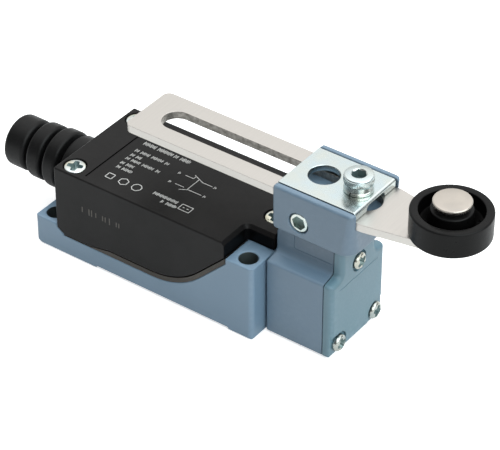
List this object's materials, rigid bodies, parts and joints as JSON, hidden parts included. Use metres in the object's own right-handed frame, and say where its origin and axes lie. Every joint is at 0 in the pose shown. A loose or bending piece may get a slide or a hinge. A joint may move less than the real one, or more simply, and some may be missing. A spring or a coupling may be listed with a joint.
{
  "type": "limit switch with adjustable roller lever",
  "caption": "Compact limit switch: die-cast housing with plastic cover, side head with a rotary shaft, a slotted adjustable arm carrying a roller, and a ribbed cable boot.",
  "frame": {"origin": "on the mounting face, midway between the two mounting holes at the head end", "axes": "+X from the cable end to the head, +Z out of the mounting face along the lever shaft, +Y across the housing"},
  "size_m": [0.13, 0.03, 0.0484],
  "materials": {
    "blue_grey_paint": "smooth semi-gloss paint on die casting",
    "black_plastic": "fine matte grain",
    "black_rubber": "matte",
    "zinc_plate": "bright zinc plate, faint yellow and blue tints",
    "satin_nickel": "satin nickel, lightly brushed lengthwise",
    "brass": "turned or stamped, satin",
    "switch_moulding": "matte thermoset moulding"
  },
  "bodies": {
    "housing": {"base_housing": "blue_grey_paint", "cable_boot": "black_rubber", "cable_grommet": "black_rubber", "cap_gasket": "black_rubber", "cap_screw_front": "zinc_plate", "cap_screw_rear": "zinc_plate", "cap_screw_top": "zinc_plate", "cover_gasket": "black_rubber", "cover_screw_front": "zinc_plate", "cover_screw_head": "zinc_plate", "cover_screw_rear": "zinc_plate", "front_cover": "black_plastic", "gland_nut": "black_plastic", "ground_screw": "zinc_plate", "head_block": "blue_grey_paint", "head_cap": "blue_grey_paint", "head_gasket": "black_rubber", "plunger_spring": "zinc_plate", "return_spring": "zinc_plate", "shaft_bush": "brass", "shaft_seal": "black_rubber", "switch_block": "switch_moulding", "terminal_nc_front": "brass", "terminal_nc_rear": "brass", "terminal_no_front": "brass", "terminal_no_rear": "brass", "terminal_screw_nc_front": "zinc_plate", "terminal_screw_nc_rear": "zinc_plate", "terminal_screw_no_front": "zinc_plate", "terminal_screw_no_rear": "zinc_plate"},
    "lever": {"lever_shaft": "satin_nickel", "shaft_cam": "zinc_plate", "shaft_clip": "zinc_plate", "clamp_block": "blue_grey_paint", "set_screw": "zinc_plate", "clamp_plate": "zinc_plate", "clamp_bolt": "zinc_plate", "spring_washer": "zinc_plate"},
    "arm": {"lever_arm": "satin_nickel", "roller_pin": "satin_nickel", "roller_washer": "satin_nickel"},
    "roller": {"roller": "black_plastic"},
    "rod": {"push_rod": "black_plastic"},
    "plunger": {"switch_plunger": "black_plastic", "bridge_spring": "zinc_plate"},
    "bridge": {"contact_bridge": "brass"}
  },
  "joints": [
    {"name": "lever_turn", "type": "hinge", "parent": "housing", "child": "lever", "pos_m": [0.012, 0, 0.03], "axis": [0, 0, 1], "range_deg": [-75, 75]},
    {"name": "arm_slide", "type": "slide", "parent": "lever", "child": "arm", "axis": [1, 0, 0], "range_m": [0, 0.045]},
    {"name": "roller_spin", "type": "hinge", "parent": "arm", "child": "roller", "pos_m": [0.0445, 0, 0.043], "axis": [0, 0, 1], "continuous": true},
    {"name": "rod_push", "type": "slide", "parent": "housing", "child": "rod", "axis": [-1, 0, 0], "range_m": [0, 0.002], "deforming": ["return_spring"]},
    {"name": "plunger_push", "type": "slide", "parent": "housing", "child": "plunger", "axis": [-1, 0, 0], "range_m": [0, 0.002], "deforming": ["plunger_spring"]},
    {"name": "bridge_shift", "type": "slide", "parent": "housing", "child": "bridge", "axis": [-1, 0, 0], "range_m": [0, 0.0012], "deforming": ["bridge_spring"]}
  ],
  "couplings": [
    {"joint": "plunger_push", "follows": "rod_push", "ratio": 1},
    {"joint": "bridge_shift", "follows": "rod_push", "ratio": 0.6}
  ]
}
